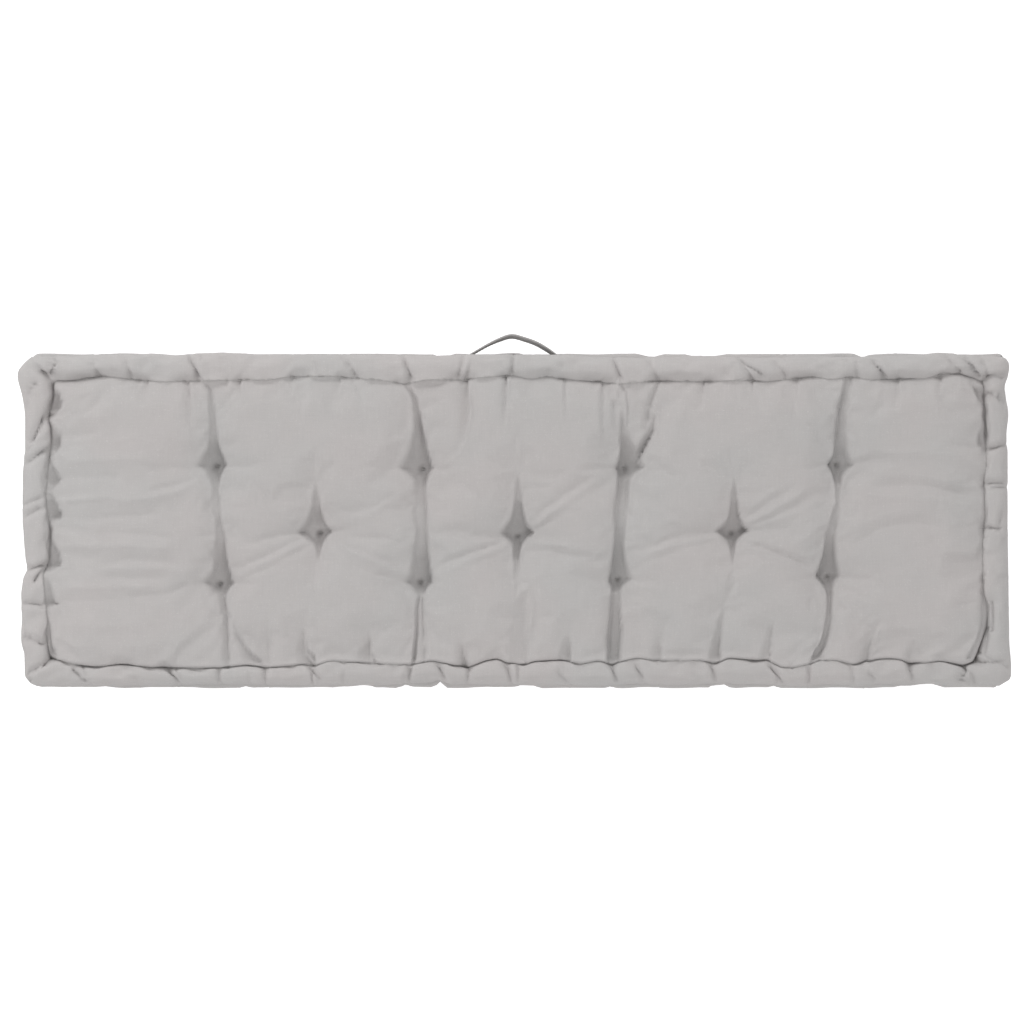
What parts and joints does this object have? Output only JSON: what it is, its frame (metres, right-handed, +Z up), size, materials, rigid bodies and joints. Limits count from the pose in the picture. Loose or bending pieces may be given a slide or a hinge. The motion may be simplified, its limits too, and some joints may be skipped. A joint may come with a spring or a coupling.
{
  "type": "pallet cushion",
  "caption": "Long grey tufted cotton cushion with rolled, stitched edges and a strap handle on one long side, lying flat.",
  "frame": {"origin": "on the ground under the middle of the box that holds the cushion and its handle", "axes": "+X along the length, +Y across the cushion towards the handle, +Z up out of the tufted face"},
  "size_m": [1.202, 0.4312, 0.0718],
  "materials": {
    "cover_cloth": "matt warm grey cotton canvas, plain weave, softly creased",
    "strap_cloth": "matt grey cotton, folded and stitched along both edges"
  },
  "bodies": {
    "root": {"cushion": "cover_cloth", "handle": "strap_cloth"}
  },
  "joints": []
}
